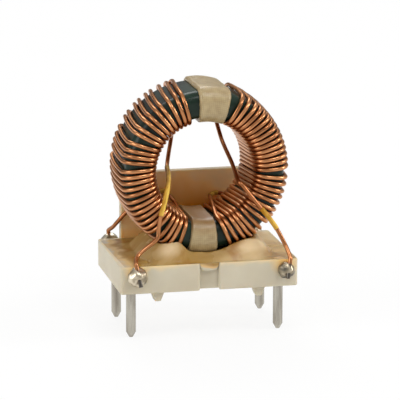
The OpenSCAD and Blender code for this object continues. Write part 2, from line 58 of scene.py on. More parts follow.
BASE_L, BASE_W, BASE_T = 18.2, 12.2, 2.8
PLATE_Z = 1.0
PLATE_TOP = PLATE_Z + BASE_T
FACE_Y = BASE_W / 2
NOTCH_L, NOTCH_D = 2.0, 0.7
WALL_L, WALL_T, WALL_H, WALL_CORNER_R = 13.7, 0.9, 7.05, 0.25
WALL_FRONT_Y = FACE_Y - WALL_T
STANDOFF_L, STANDOFF_FOOT_L, STANDOFF_W = 1.35, 0.6, 1.1
STANDOFF_PITCH_X, STANDOFF_SETBACK = 10.4, 0.5
PIN_PITCH_X, PIN_DROP, LEG_Z = 15.24, 4.0, 2.85

CORE_ID, CORE_OD, CORE_W, CORE_EDGE_R = 10.8, 16.4, 7.4, 1.05
WIRE_R, LAY_GAP = 0.2125, 0.03
TAPE_T, TAPE_GAP = 0.42, 0.03
SLEEVE_R, SLEEVE_BORE_R = WIRE_R + 0.036, WIRE_R + 0.008
BORE_R = CORE_ID / 2 - LAY_GAP - WIRE_R
RIM_R = CORE_OD / 2 + LAY_GAP + WIRE_R
SIDE_Y = CORE_W / 2 + LAY_GAP + WIRE_R
BEND_R = CORE_EDGE_R + LAY_GAP + WIRE_R
LANE_Y = SIDE_Y + 2 * WIRE_R + 0.03
WOUND_R = RIM_R + WIRE_R + 0.03
WOUND_Y = SIDE_Y + WIRE_R + 0.03
RING = Vector((0.18, 0, PLATE_TOP + 0.1 + WOUND_R))


def linear(code):
    """Linear RGBA of an sRGB colour such as 8A4A26."""
    channels = [int(code[i:i + 2], 16) / 255 for i in (0, 2, 4)]
    return [c / 12.92 if c <= 0.04045 else ((c + 0.055) / 1.055) ** 2.4 for c in channels] + [1.0]


def colour(name, description, code):
    """A colour property with its default."""
    return FloatVectorProperty(name=name, description=description, default=linear(code), subtype="COLOR",
                               size=4, min=0, max=1)


def length(name, description, default, most, least=0):
    """A length property with its default and its limits, in millimetres."""
    return FloatProperty(name=name, description=description, default=default * MM, min=least * MM,
                         max=most * MM, unit="LENGTH")


# ---- What a user would change ----

class InductorForm(PropertyGroup):
    """Sizes of the dressed pieces"""
    wire_sides: IntProperty(name="Wire sides", description="Sides of the wire's round section",
                            default=14, min=6, max=24)
    bend_points: IntProperty(name="Bend points", description="Points on each edge that a turn is bent round",
                             default=6, min=3, max=12)
    lay_scatter: FloatProperty(
        name="Lay scatter", description="How unevenly the turns lie on the rim, as an angle",
        default=radians(0.22), min=0, max=radians(1), subtype="ANGLE")
    turn_bow: length("Turn bow", "How far a turn stands off the core between its edges", 0.13, 0.2)
    header_edge: length("Header edge", "Rounding of the moulded header's edges", 0.11, 0.3)
    mound_h: length("Mound height", "Height of the epoxy's mound above the film", 2.6, 4, 1)
    film_t: length("Film thickness", "Thickness of the epoxy film on the plate", 0.12, 0.3, 0.02)
    ripple: length("Ripple", "Unevenness of the epoxy's surface", 0.07, 0.2)
    blob_lumps: FloatProperty(
        name="Solder lumps", description="Unevenness of the solder joints, as a share of their radius",
        default=0.12, min=0, max=0.3, subtype="FACTOR")
    tape_ruffle: length("Tape ruffle", "Unevenness of the tapes' surface and edges", 0.035, 0.1)


class InductorColours(PropertyGroup):
    """Colours of the finishes"""
    copper: colour("Copper", "Copper under its enamel where it is lightest", "CD8E5C")
    copper_deep: colour("Deep copper", "Copper under thicker enamel", "A2683C")
    tin: colour("Tin", "Bright tin on the pins", "B9B4A8")
    tin_dull: colour("Dull tin", "Tin that has dulled", "968F83")
    solder: colour("Solder", "Bright solder with a film of flux", "E2D6BE")
    solder_dull: colour("Dull solder", "Solder that froze grainy", "A2957E")
    coat: colour("Core coat", "Epoxy coat of the core", "20382A")
    cloth: colour("Cloth", "Glass cloth tape", "B4A077")
    cloth_dark: colour("Dark cloth", "Gaps between the cloth's threads", "9C865E")
    sleeve: colour("Sleeve", "Insulating sleeves", "E8C058")
    header: colour("Header", "Moulded header", "D0C7B1")
    # The two stain colours also paint shade on the wall
    stain_and_shade: colour("Stain and shade", "Header that epoxy has seeped into and turned brown, and the wall's painted shade", "F6D08C")
    deep_stain_and_shade: colour("Deep brown and shade", "Header where the brown and the painted shade are darkest", "E89C28")
    epoxy: colour("Epoxy", "Clear amber epoxy", "A27E3E")
    epoxy_dark: colour("Dark epoxy", "Epoxy that has browned", "96662E")
    # This colour also paints the highlight patch on the epoxy
    pale_epoxy_and_highlight: colour("Milky epoxy and highlight", "Epoxy that has cured thick and cloudy, and the painted highlight", "DCC298")
    floor: colour("Floor", "Floor under the part", "F2F2F1")


# ---- Meshes ----

def new_piece(name, vertices, faces, finish, replaced):
    """A smooth mesh in the row's frame, from points in millimetres, that rides on the part."""
    mesh = bpy.data.meshes.new(name)
    mesh.from_pydata([Vector(v) * MM for v in vertices], [], faces)
    mesh.validate()
    mesh.shade_smooth()
    mesh.materials.append(finish)
    piece = bpy.data.objects.new(name, mesh)
    bpy.context.scene.collection.objects.link(piece)
    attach(piece, "root")
    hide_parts(*replaced)
    return piece


def point_values(piece, name, kind, values):
    """Stores a value or a vector at each point of a piece, for its material."""
    layer = piece.data.attributes.new(name, kind, "POINT")
    if kind == "FLOAT_VECTOR":
        layer.data.foreach_set("vector", [c for v in values for c in v])
    else:
        layer.data.foreach_set("value", values)


def clamp(value):
    """The value held between 0 and 1."""
    return min(1, max(0, value))


def ring_faces(spans, around, start=0):
    """Faces between neighbouring rings of points."""
    return [(start + i * around + j, start + i * around + (j + 1) % around,
             start + (i + 1) * around + (j + 1) % around, start + (i + 1) * around + j)
            for i in range(spans) for j in range(around)]


def end_faces(spans, around, start=0):
    """Faces that close the first and the last ring."""
    return [tuple(start + j for j in range(around - 1, -1, -1)),
            tuple(start + spans * around + j for j in range(around))]


def tube(path, radius, sides, closed_ends=True):
    """Points, faces and rings of a round tube along a path, carried along it without twist."""
    last = len(path) - 1
    chords = [(path[i + 1] - path[i]).normalized() for i in range(last)]
    along = [(chords[max(i - 1, 0)] + chords[min(i, last - 1)]).normalized() for i in range(last + 1)]
    up = Vector((0.3, 0.2, 1))
    points, rings, run = [], [], 0.0
    for i, direction in enumerate(along):
        up = (up - up.dot(direction) * direction).normalized()
        side = direction.cross(up)
        run += (path[i] - path[i - 1]).length if i else 0
        for j in range(sides):
            angle = tau * j / sides
            points.append(path[i] + radius * (cos(angle) * up + sin(angle) * side))
            rings.append((run, cos(angle), sin(angle)))
    faces = ring_faces(last, sides) + (end_faces(last, sides) if closed_ends else [])
    return points, faces, rings


def smooth(route, steps):
    """A smooth path through route points."""
    last = len(route) - 1
    path = []
    for i in range(last):
        p0, p1, p2, p3 = route[max(i - 1, 0)], route[i], route[i + 1], route[min(i + 2, last)]
        for s in range(steps):
            t = s / steps
            path.append(0.5 * (2 * p1 + (p2 - p0) * t + (2 * p0 - 5 * p1 + 4 * p2 - p3) * t * t
                               + (3 * p1 - p0 - 3 * p2 + p3) * t * t * t))
    return path + [route[last]]


# ---- Places ----

def spot(x, y, middle, reach, power=2):
    """Share of a soft spot at a place: 1 at its middle, and fading round its reach."""
    return exp(-((x - middle[0]) / reach[0]) ** power - ((y - middle[1]) / reach[1]) ** power)


def on_ring(side, radius, angle, y):
    """Point at a radius, an angle from the top in degrees and a depth."""
    a = radians(angle)
    return RING + Vector((side * radius * sin(a), y, radius * cos(a)))


def by_ring(side, radius, angle, depth):
    """The same, with the radius in multiples of the bore lay and the depth of the leads' lane."""
    return on_ring(side, radius * BORE_R, angle, depth * LANE_Y)


def by_leg(side, end, away, out, up):
    """Point beside a terminal: away from the header's middle, out of its face, and up."""
    return Vector((side * (PIN_PITCH_X / 2 + away), end * (FACE_Y + out), LEG_Z + up))


# ---- Finishes ----

def connect(made, inputs):
    """Gives a node's sockets their values, or links sockets or nodes' first enabled outputs to them."""
    for name, value in inputs.items():
        if isinstance(value, bpy.types.Node):
            value = next(output for output in value.outputs if output.enabled)
        if isinstance(value, bpy.types.NodeSocket):
            made.id_data.links.new(value, made.inputs[name])
        else:
            made.inputs[name].default_value = value


def node(tree, kind, inputs=None, ramp=None, **settings):
    """Adds a node with its settings and links."""
    made = tree.nodes.new("ShaderNode" + kind)
    for name, value in settings.items():
        setattr(made, name, value)
    connect(made, inputs or {})
    if ramp:
        first, last = made.color_ramp.elements
        first.position, first.color = ramp[0]
        last.position, last.color = ramp[-1]
        for position, shade in ramp[1:-1]:
            made.color_ramp.elements.new(position).color = shade
    return made


def new_finish(name):
    """An empty material, what adds nodes to it, and its surface shader."""
    finish = bpy.data.materials.new(name)
    finish.use_nodes = True
    return finish, partial(node, finish.node_tree), finish.node_tree.nodes["Principled BSDF"]


# Colour sockets of a mixing node
A, B = 6, 7
BLACK, WHITE = linear("000000"), linear("FFFFFF")


def colours():
    return bpy.context.scene.inductor_colours


def form():
    return bpy.context.scene.inductor_form


def enamelled_copper():
    """Drawn copper wire under clear polyurethane enamel: warm bright metal with soft streaks
    along the wire, browner where the enamel is thick, and grey where its ends are tinned."""
    c = colours()
    finish, add, surface = new_finish("enamelled_copper_wire")
    strand = add("Attribute", attribute_name="strand").outputs["Vector"]
    lead = add("Attribute", attribute_name="lead").outputs["Fac"]
    tinned = add("Attribute", attribute_name="tin").outputs["Fac"]
    # Clouds in the enamel 3 mm long, and drawing streaks that are as long and 0.1 mm wide
    stretched = add("VectorMath", {0: strand, 1: (0.3, 0.35, 0.35)}, operation="MULTIPLY")
    clouds = add("TexNoise", {"Vector": stretched, "Scale": 1.0, "Detail": 2.0})
    drawn = add("VectorMath", {0: strand, 1: (0.3, 2.5, 2.5)}, operation="MULTIPLY")
    streaks = add("TexNoise", {"Vector": drawn, "Scale": 1.0, "Detail": 1.0})
    shades = add("ValToRGB", {"Fac": clouds}, ramp=[(0.35, c.copper_deep), (0.6, c.copper)])
    # The leads are painted browner, as painted shade, and their cut ends are dull with tin
    darkened = add("Mix", {0: lead, A: shades, B: linear("A06236")}, data_type="RGBA")
    dulled = add("Mix", {0: tinned, A: darkened, B: linear("5E5850")}, data_type="RGBA")
    connect(surface, {
        "Base Color": dulled,
        "Roughness": add("MapRange", {"Value": clouds, "To Min": 0.25, "To Max": 0.32}),
        "Normal": add("Bump", {"Height": streaks, "Strength": 0.02, "Distance": 0.00002}),
        "Metallic": 1.0, "Specular Tint": linear("FBE2CB"), "Coat Weight": 0.4, "Coat Roughness": 0.16})
    return finish


def coated_ferrite():
    """Ferrite under a sprayed dark green epoxy coat: glossy, with a faint orange peel."""
    c = colours()
    finish, add, surface = new_finish("epoxy_coated_ferrite")
    place = add("TexCoord").outputs["Object"]
    # Orange peel about 0.6 mm across, and clouds of 4 mm in the coat
    peel = add("TexNoise", {"Vector": place, "Scale": 1600.0, "Detail": 2.0})
    clouds = add("TexNoise", {"Vector": place, "Scale": 260.0, "Detail": 3.0})
    connect(surface, {
        "Base Color": add("ValToRGB", {"Fac": clouds}, ramp=[(0.35, linear("0E1912")), (0.65, c.coat)]),
        "Normal": add("Bump", {"Height": peel, "Strength": 0.25, "Distance": 0.00004}),
        "Roughness": 0.28, "IOR": 1.45, "Specular IOR Level": 0.28})
    return finish


def glass_cloth():
    """Woven glass cloth tape steeped in varnish: fine crossed threads with a dull sheen, and the lower tape
    darker in the bore, partly stained and partly painted shade.
    """
    c = colours()
    finish, add, surface = new_finish("varnished_glass_cloth_tape")
    lay = add("Attribute", attribute_name="lay").outputs["Vector"]
    # Threads 0.16 mm apart, drawn 0.2 mm apart so that they show
    threads = {"Vector": lay, "Scale": 1.6, "Distortion": 0.6, "Detail": 1.0}
    across = add("TexWave", threads, bands_direction="X").outputs["Fac"]
    along = add("TexWave", threads, bands_direction="Y").outputs["Fac"]
    weave = add("Math", {0: across, 1: along}, operation="MULTIPLY")
    # Clouds of 0.8 mm in the varnish
    clouds = add("TexNoise", {"Vector": lay, "Scale": 1.3, "Detail": 4.0})
    faint = add("Math", {0: weave, 1: 0.25}, operation="MULTIPLY")
    patches = add("Math", {0: faint, 1: clouds}, operation="ADD")
    shades = add("ValToRGB", {"Fac": patches}, ramp=[(0.35, c.cloth_dark), (0.75, c.cloth)])
    # The lower tape is browned in the bore, partly stain and partly painted shade, which the third
    # coordinate marks
    inward = add("SeparateXYZ", {"Vector": lay}).outputs["Z"]
    soak_and_shade = add("MapRange", {"Value": inward, "From Min": 0.55, "To Max": 0.75})
    connect(surface, {
        "Base Color": add("Mix", {0: soak_and_shade, A: shades, B: linear("8E663A")}, data_type="RGBA"),
        "Normal": add("Bump", {"Height": weave, "Strength": 0.12, "Distance": 0.00004}),
        "Roughness": 0.36, "Coat Weight": 0.2, "Coat Roughness": 0.3,
        "Subsurface Weight": 0.15, "Subsurface Radius": (0.0006, 0.0004, 0.0002), "Subsurface Scale": 1.0})
    return finish


def varnished_sleeving():
    """Thin varnished sleeving: waxy yellow with paler and browner stretches, and painted shade on one side
    of each sleeve.
    """
    c = colours()
    finish, add, surface = new_finish("varnished_sleeving")
    strand = add("Attribute", attribute_name="strand").outputs["Vector"]
    yellowness_and_side_shade = add("Attribute", attribute_name="yellowness_and_side_shade").outputs["Fac"]
    # Clouds of 0.9 mm along the sleeve
    clouds = add("TexNoise", {"Vector": strand, "Scale": 1.1, "Detail": 3.0})
    # The points' values also darken one side of each sleeve as painted shade
    tone = add("Math", {0: clouds, 1: yellowness_and_side_shade}, operation="MULTIPLY")
    connect(surface, {
        "Base Color": add("ValToRGB", {"Fac": tone}, ramp=[(0.12, linear("A8721C")), (0.46, c.sleeve)]),
        "Normal": add("Bump", {"Height": clouds, "Strength": 0.2, "Distance": 0.00004}),
        "Roughness": 0.45, "Specular IOR Level": 0.08})
    return finish


def tinned_pin():
    """Round pins dipped in tin: bright grey metal with runs along the pin and duller patches."""
    c = colours()
    finish, add, surface = new_finish("tin_dipped_pin")
    place = add("TexCoord").outputs["Object"]
    # Runs 0.4 mm wide and 3 mm long
    runs = add("VectorMath", {0: place, 1: (2400.0, 2400.0, 300.0)}, operation="MULTIPLY")
    grain = add("TexNoise", {"Vector": runs, "Scale": 1.0, "Detail": 4.0})
    connect(surface, {
        "Base Color": add("ValToRGB", {"Fac": grain}, ramp=[(0.3, c.tin_dull), (0.6, c.tin)]),
        "Roughness": add("MapRange", {"Value": grain, "To Min": 0.26, "To Max": 0.17}),
        "Normal": add("Bump", {"Height": grain, "Strength": 0.1, "Distance": 0.00005}),
        "Metallic": 1.0})
    return finish


def frozen_solder():
    """Tin solder that froze as it flowed: mirror-like swells broken by dull grainy patches."""
    c = colours()
    finish, add, surface = new_finish("frozen_tin_solder")
    place = add("TexCoord").outputs["Object"]
    frost = add("Attribute", attribute_name="frost").outputs["Fac"]
    # Frost patches about 0.9 mm across, grains 0.2 mm
    patches = add("TexNoise", {"Vector": place, "Scale": 1100.0, "Detail": 2.0})
    grains = add("TexVoronoi", {"Vector": place, "Scale": 5000.0})
    tone = add("Math", {0: patches, 1: frost}, operation="SUBTRACT")
    shades = [(0.2, linear("6E695E")), (0.36, c.solder_dull), (0.56, c.solder)]
    connect(surface, {
        "Base Color": add("ValToRGB", {"Fac": tone}, ramp=shades),
        "Roughness": add("MapRange", {"Value": patches, "From Min": 0.35, "From Max": 0.65, "To Min": 0.5,
                                      "To Max": 0.24}),
        "Normal": add("Bump", {"Height": grains, "Strength": 0.06, "Distance": 0.00004}),
        "Metallic": 1.0})
    return finish


def moulded_header():
    """Cream thermoset moulding: matt, faintly mottled and translucent at its edges, and turned
    brown under the epoxy that has seeped into it. Along the wall the brown is partly painted shade."""
    c = colours()
    finish, add, surface = new_finish("cream_thermoset_moulding")
    place = add("TexCoord").outputs["Object"]
    # The points' values hold the stain and the wall's painted shade
    soak_and_shade = add("Attribute", attribute_name="soak_and_shade").outputs["Fac"]
    # Mottling of 3 mm, and moulded grain 0.15 mm across
    mottle = add("TexNoise", {"Vector": place, "Scale": 300.0, "Detail": 4.0})
    grain = add("TexNoise", {"Vector": place, "Scale": 6500.0, "Detail": 2.0})
    shades = add("ValToRGB", {"Fac": mottle}, ramp=[(0.3, linear("C7BCA4")), (0.7, c.header)])
    # The mottling breaks up the edges of the stain
    edge = add("Math", {0: mottle, 1: 0.6}, operation="MULTIPLY")
    reach = add("Math", {0: soak_and_shade, 1: edge}, operation="ADD")
    share = add("MapRange", {"Value": reach, "From Min": 0.45, "From Max": 0.95})
    deeper = add("MapRange", {"Value": reach, "From Min": 0.85, "From Max": 1.45})
    brown = add("Mix", {0: deeper, A: c.stain_and_shade, B: c.deep_stain_and_shade}, data_type="RGBA")
    connect(surface, {
        "Base Color": add("Mix", {0: share, A: shades, B: brown}, data_type="RGBA"),
        "Normal": add("Bump", {"Height": grain, "Strength": 0.1, "Distance": 0.00003}),
        "Roughness": 0.5, "Specular IOR Level": 0.3,
        "Subsurface Weight": 0.25, "Subsurface Radius": (1.0, 0.7, 0.4), "Subsurface Scale": 0.0008})
    return finish


def poured_epoxy():
    """Amber epoxy, poured and cured: glossy and honey-coloured, pale and cloudy where it is thick, and with
    a pale patch at the front painted as a highlight.
    """
    c = colours()
    finish, add, surface = new_finish("poured_amber_epoxy")
    place = add("TexCoord").outputs["Object"]
    milky_and_highlight = add("Attribute", attribute_name="milky_and_highlight").outputs["Fac"]
    poured = add("Attribute", attribute_name="poured").outputs["Fac"]
    # Cloudy swirls about 3 mm across
    swirl = add("TexNoise", {"Vector": place, "Scale": 330.0, "Detail": 4.0, "Distortion": 0.6})
    amber = add("ValToRGB", {"Fac": swirl}, ramp=[(0.32, c.epoxy_dark), (0.52, c.epoxy)])
    push = add("Math", {0: swirl, 1: -0.5}, operation="ADD")
    # The points' milky values include a painted highlight at the front
    cloud_and_highlight = add("Math", {0: milky_and_highlight, 1: push}, operation="ADD", use_clamp=True)
    body = add("Mix", {0: cloud_and_highlight, A: amber, B: c.pale_epoxy_and_highlight}, data_type="RGBA")
    # Towards its rim the film is so thin that the header shows through
    ragged = add("Math", {0: push, 1: 1.6, 2: poured}, operation="MULTIPLY_ADD")
    cover = add("MapRange", {"Value": ragged, "From Min": 0.2, "From Max": 0.65})
    bare = add("MapRange", {"Value": ragged, "From Min": -0.15, "From Max": 0.12})
    thin = add("Mix", {0: bare, A: c.header, B: linear("DDB880")}, data_type="RGBA")
    film = add("Mix", {0: cover, A: thin, B: body}, data_type="RGBA")
    # Where it is clear it has browned most along its rim
    rim = add("ValToRGB", {"Fac": ragged}, ramp=[(0.25, BLACK), (0.5, WHITE), (0.62, WHITE), (0.95, BLACK)])
    clear = add("Math", {0: 1.0, 1: cloud_and_highlight}, operation="SUBTRACT")
    darkened = add("Math", {0: rim, 1: clear}, operation="MULTIPLY")
    part = add("Math", {0: darkened, 1: 0.5}, operation="MULTIPLY")
    # Ripples about 1.1 mm across
    ripples = add("TexNoise", {"Vector": place, "Scale": 900.0, "Detail": 2.0})
    connect(surface, {
        "Base Color": add("Mix", {0: part, A: film, B: c.epoxy_dark}, data_type="RGBA"),
        "Roughness": add("MapRange", {"Value": cloud_and_highlight, "To Min": 0.24, "To Max": 0.42}),
        "Normal": add("Bump", {"Height": ripples, "Strength": 0.2, "Distance": 0.0001}),
        "IOR": 1.53, "Specular IOR Level": 0.22,
        "Subsurface Weight": 0.2, "Subsurface Radius": (1.0, 0.6, 0.25), "Subsurface Scale": 0.0007})
    return finish


# ---- Windings and leads ----

# Extra angles that the turns leave before a turn: (turn, degrees)
LEFT_RIM_GAPS = [(2, 1.7), (3, 2.4), (5, 1.9), (7, 2.2), (9, 3.9), (10, 0.8), (13, 3.2), (18, 1), (25, 3.4),
                 (28, 2.4)]
RIGHT_BORE_GAPS = [(15, 1.2), (20, 2), (24, 2), (27, 1.7)]
RIGHT_RIM_GAPS = [(1, 1.5), (2, 1.7), (15, 4), (16, 1.1), (17, 1.2), (20, 1.2), (22, 1.5), (23, 2.6),
                  (28, 2.5)]
TURNS = 29


def run_points(side, end, top, tail, shares):
    """Points of a lead's straight run through its joint."""
    return [by_leg(side, end, *[a + share * (b - a) for a, b in zip(top, tail)]) for share in shares]


def front_route(side, run, ring_places, leg_places):
    """Route of a front lead, from the ring down through its joint."""
    return ([by_ring(side, *p) for p in ring_places] + [by_leg(side, FRONT, *p) for p in leg_places]
            + run_points(side, FRONT, *run, (0, 0.12, 0.55, 1)))


def back_route(side, ring_places):
    """Route of a rear lead, from its joint up to the ring. Both leave their joints alike."""
    leg_places = ((-0.09, -0.3, 2.2), (-0.4, -1.05, 2.89))
    rising = ((1.676, 131.6, 1.065), (1.286, 135.1, 1.065), *ring_places)
    return (run_points(side, BACK, *BACK_RUN, (1, 0.55, 0.12, 0))
            + [by_leg(side, BACK, *p) for p in leg_places] + [by_ring(side, *p) for p in rising])


FRONT_LEFT_RUN = ((0.06, 0.62, 1.42), (-0.3, 1.375, -0.78))
FRONT_RIGHT_RUN = ((0.56, 0.5, 1.15), (0.12, 1.25, -0.75))
BACK_RUN = ((0.2, 0.6, 1.65), (0.18, 1.3, -0.5))

FRONT_LEFT_ROUTE = front_route(
    LEFT, FRONT_LEFT_RUN,
    [(1.03, 16.2, 1), (0.54, 44.6, 0.93), (0.5, 78, 0.63), (0.583, 97.8, 0.3), (0.65, 103.3, -0.15),
     (0.793, 108.8, -0.73), (0.906, 113.3, -1.02), (1.07, 123.5, -1.05), (1.225, 129.3, -1.05),
     (1.45, 136.8, -1.05), (1.605, 139.9, -1.09)],
    [(-1.15, -0.85, 2.55), (-0.36, -0.4, 2.07), (-0.04, 0.16, 1.72)])
FRONT_RIGHT_ROUTE = front_route(
    RIGHT, FRONT_RIGHT_RUN,
    [(1.311, 27.5, 1), (1.003, 31.7, 1.02), (0.733, 51.8, 0.73), (0.653, 65.3, 0.36), (0.624, 86.3, -0.27),
     (0.637, 105.9, -0.86), (0.723, 110.7, -1.02), (1.003, 120.2, -1.05), (1.28, 124.8, -1.05),
     (1.541, 127.7, -1.07)],
    [(-0.48, -1.05, 3.85), (0.15, -0.5, 2.53), (0.46, 0.05, 1.7)])
BACK_LEFT_ROUTE = back_route(LEFT, [(0.896, 143, 1.065), (0.9, 153, 0.98), (0.95, 158.8, 0.76),
                                    (1, 159.4, 0.4)])
BACK_RIGHT_ROUTE = back_route(RIGHT, [(1.009, 143.4, 1.065), (0.96, 149.3, 1.05), (0.93, 153.8, 0.9),
                                      (0.915, 157, 0.5), (0.915, 160, 0.1), (0.92, 162.5, -0.2),
                                      (0.97, 164.4, -0.45)])
LEAD_STEPS = 8
# Path points that the tin reaches from each end of a wire, and how many of them it fades over
TINNED_STEPS, TIN_FADE_STEPS = 1.8 * LEAD_STEPS, 3
# How much painted shade browns a lead, and how much a front one below its sleeve
LEAD_SHADE, JOINT_SHADE = 0.9, 0.35
RIM_SHARES = (0.2, 0.4, 0.6, 0.8)
# Route points between which each sleeve covers its lead
SLEEVES = {"front_left": (FRONT_LEFT_ROUTE, 3, 8), "front_right": (FRONT_RIGHT_ROUTE, 8, 10),
           "back_left": (BACK_LEFT_ROUTE, 7, 9), "back_right": (BACK_RIGHT_ROUTE, 8, 10)}


def opened(gaps, turn):
    """Angle opened by all gaps up to a turn."""
    return sum(angle for first, angle in gaps if first <= turn)


def turns(side, bore, rim, bore_gaps, rim_gaps, bore_slant, rim_slant, seed):
    """Path of a winding's turns, from the lowest to the highest."""
    scatter = random.Random(seed)
    last = TURNS - 1
    bore_pitch = (bore[1] - bore[0] - opened(bore_gaps, last)) / last
    rim_pitch = (rim[1] - rim[0] - opened(rim_gaps, last)) / last
    swing = degrees(form().lay_scatter)
    bow = form().turn_bow / MM
    bore_at = [bore[0] + bore_pitch * k + opened(bore_gaps, k) for k in range(TURNS)]
    rim_at = [rim[0] + rim_pitch * k + opened(rim_gaps, k) + scatter.uniform(-swing, swing)
              for k in range(TURNS)]
    reach = RIM_R - BORE_R - 2 * BEND_R + pi * BEND_R
    half_rim = SIDE_Y - BEND_R
    points = form().bend_points
    steps = [90 * s / (points - 1) for s in range(points)]
    path = []
    for k in range(last, -1, -1):
        front = (bore_at[k], rim_at[k])
        back = (rim_at[k] + rim_slant, bore_at[max(k - 1, 0)] + bore_slant)
        for face, (start, end) in ((-1, front), (1, back)):
            for first in (True, False):
                if k == 0 and face > 0 and not first:
                    continue
                at_rim = (face > 0) == first
                centre, bend = (RIM_R - BEND_R, BEND_R) if at_rim else (BORE_R + BEND_R, -BEND_R)
                for s in steps:
                    arc = radians(s if first else 90 - s)
                    share = arc * BEND_R / reach if first else 1 - arc * BEND_R / reach
                    angle = start + (end - start) * share
                    depth = half_rim + BEND_R * sin(arc) + bow * sin(pi * share)
                    path.append(on_ring(side, centre + bend * cos(arc), angle, face * depth))
            if face < 0:
                for share in RIM_SHARES:
                    lag = rim_slant * share * (0.4 + 0.6 * share)
                    path.append(on_ring(side, RIM_R + bow * sin(pi * share), end + lag,
                                        half_rim * (2 * share - 1)))
    return path


class OBJECT_OT_inductor_windings(Operator):
    """Winds the two coils of enamelled wire and leads their ends to the terminals"""
    bl_idname = "object.inductor_windings"
    bl_label = "Windings"

    def execute(self, context):
        finish = enamelled_copper()
        # Routes, first and last angles in the bore and on the rim, gaps, slants and seed
        windings = {
            "left": (BACK_LEFT_ROUTE, FRONT_LEFT_ROUTE,
                     turns(LEFT, (18.5, 157.4), (17.5, 158.5), [], LEFT_RIM_GAPS, 2.5, -3, 3)),
            "right": (BACK_RIGHT_ROUTE, FRONT_RIGHT_ROUTE,
                      turns(RIGHT, (24, 164.9), (27.2, 160.7), RIGHT_BORE_GAPS, RIGHT_RIM_GAPS, 4.5, -1, 5))}
        for name, (start, end, coil) in windings.items():
            first, last = smooth(start, LEAD_STEPS), smooth(end, LEAD_STEPS)
            path = first + coil + last
            sides = form().wire_sides
            points, faces, rings = tube(path, WIRE_R, sides)
            piece = new_piece("wire_" + name, points, faces, finish, ["winding_" + name])
            point_values(piece, "strand", "FLOAT_VECTOR", rings)
            coil_end = len(path) - len(last)
            sleeve_end = coil_end + SLEEVES["front_" + name][2] * LEAD_STEPS
            # The leads get painted shade: deep from the ring to the end of the front sleeves and on the rear
            # leads, lighter below the front sleeves
            tinned, darkened = [], []
            for i in range(len(path)):
                tinned.append(clamp((TINNED_STEPS - min(i, len(path) - 1 - i)) / TIN_FADE_STEPS))
                on_lead = i < len(first) or i >= coil_end
                darkened.append(JOINT_SHADE if i > sleeve_end else LEAD_SHADE if on_lead else 0.0)
            point_values(piece, "tin", "FLOAT", [v for v in tinned for _ in range(sides)])
            point_values(piece, "lead", "FLOAT", [v for v in darkened for _ in range(sides)])
        return {"FINISHED"}


class OBJECT_OT_inductor_sleeves(Operator):
    """Slips the yellow sleeves over the leads"""
    bl_idname = "object.inductor_sleeves"
    bl_label = "Sleeves"

    def execute(self, context):
        finish = varnished_sleeving()
        # How yellow the sleeve is at its start and its end
        yellowness_and_side_shade = {"front_left": (1.0, 1.0), "front_right": (0.35, 1.2),
                 "back_left": (0.9, 0.9), "back_right": (0.9, 0.9)}
        for name, (route, start, end) in SLEEVES.items():
            path = smooth(route, LEAD_STEPS)[start * LEAD_STEPS:end * LEAD_STEPS + 1]
            sides = 16
            outer, faces, rings = tube(path, SLEEVE_R, sides, False)
            inner, _, _ = tube(path, SLEEVE_BORE_R, sides, False)
            count = len(outer)
            last = count - sides
            faces += [tuple(count + i for i in reversed(face)) for face in faces]
            for j in range(sides):
                k = (j + 1) % sides
                faces.append((k, j, count + j, count + k))
                faces.append((last + j, last + k, count + last + k, count + last + j))
            piece = new_piece("sleeving_" + name, outer + inner, faces, finish, ["sleeve_" + name])
            point_values(piece, "strand", "FLOAT_VECTOR", rings + rings)
            # Each sleeve is painted darker on its left side and lighter on its right, as painted shade and
            # highlight
            first, final = yellowness_and_side_shade[name]
            shades = []
            for i, p in enumerate(outer):
                painted_side_shade = (p - path[i // sides]).x / WIRE_R
                shades.append((first + (final - first) * i / count) * (0.68 + 0.32 * painted_side_shade))
            point_values(piece, "yellowness_and_side_shade", "FLOAT", shades + shades)
        return {"FINISHED"}


# ---- Core, tapes and pins ----

def dress(name, finish):
    """Gives a node of the frame its finish in place of what it has."""
    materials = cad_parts[name].data.materials
    materials.clear()
    materials.append(finish)


class OBJECT_OT_inductor_core(Operator):
    """Coats the ferrite core"""
    bl_idname = "object.inductor_core"
    bl_label = "Core"

    def execute(self, context):
        dress("core", coated_ferrite())
        return {"FINISHED"}


class OBJECT_OT_inductor_pins(Operator):
    """Tins the four bent pins"""
    bl_idname = "object.inductor_pins"
    bl_label = "Pins"

    def execute(self, context):
        finish = tinned_pin()
        for name in ("front_left", "front_right", "back_left", "back_right"):
            dress("pin_" + name, finish)
        return {"FINISHED"}


# Share of a tape's half width over which its edge is rounded off
TAPE_EDGE = 0.12
CORNER_POINTS, FLAT_PARTS = 8, 14


def band_section(grow):
    """Outline round the core's section, grown by a thickness, as radius and depth."""
    low, high = CORE_ID / 2 - TAPE_GAP - grow, CORE_OD / 2 + TAPE_GAP + grow
    depth, corner = CORE_W / 2 + TAPE_GAP + grow, CORE_EDGE_R + TAPE_GAP + grow
    outline = []
    for quarter, (outward, back) in enumerate(((1, -1), (1, 1), (-1, 1), (-1, -1))):
        centre = Vector((high - corner if outward > 0 else low + corner, back * (depth - corner)))
        for s in range(CORNER_POINTS):
            a = radians(90 * (quarter - 1 + s / (CORNER_POINTS - 1)))
            outline.append(centre + corner * Vector((cos(a), sin(a))))
    dense = []
    for i, p in enumerate(outline):
        q = outline[(i + 1) % len(outline)]
        parts = FLAT_PARTS if (i + 1) % CORNER_POINTS == 0 else 1
        dense += [p.lerp(q, s / parts) for s in range(parts)]
    return dense


